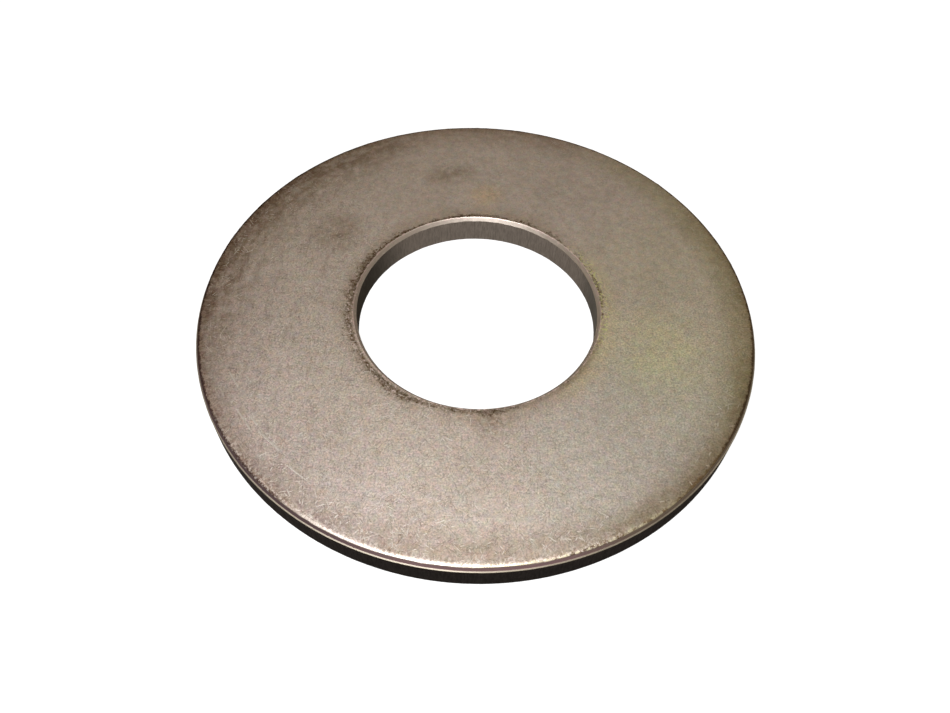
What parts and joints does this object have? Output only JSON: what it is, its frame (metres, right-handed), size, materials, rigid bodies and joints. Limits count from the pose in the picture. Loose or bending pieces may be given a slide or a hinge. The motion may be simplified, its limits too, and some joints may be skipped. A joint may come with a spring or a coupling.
{
  "type": "flat washer",
  "caption": "Plain flat washer: a steel ring with a central hole for a 1 inch bolt, in the wide pattern, with softened edges.",
  "frame": {"origin": "centre of the hole at the bottom face", "axes": "+Z along the hole, up through the washer; X and Y lie in the bottom face and are alike"},
  "size_m": [0.0636, 0.0636, 0.0036],
  "materials": {
    "steel": "plain carbon steel, tumbled satin with a warm oily tarnish, darker near the hole"
  },
  "bodies": {
    "root": {"washer": "steel"}
  },
  "joints": []
}
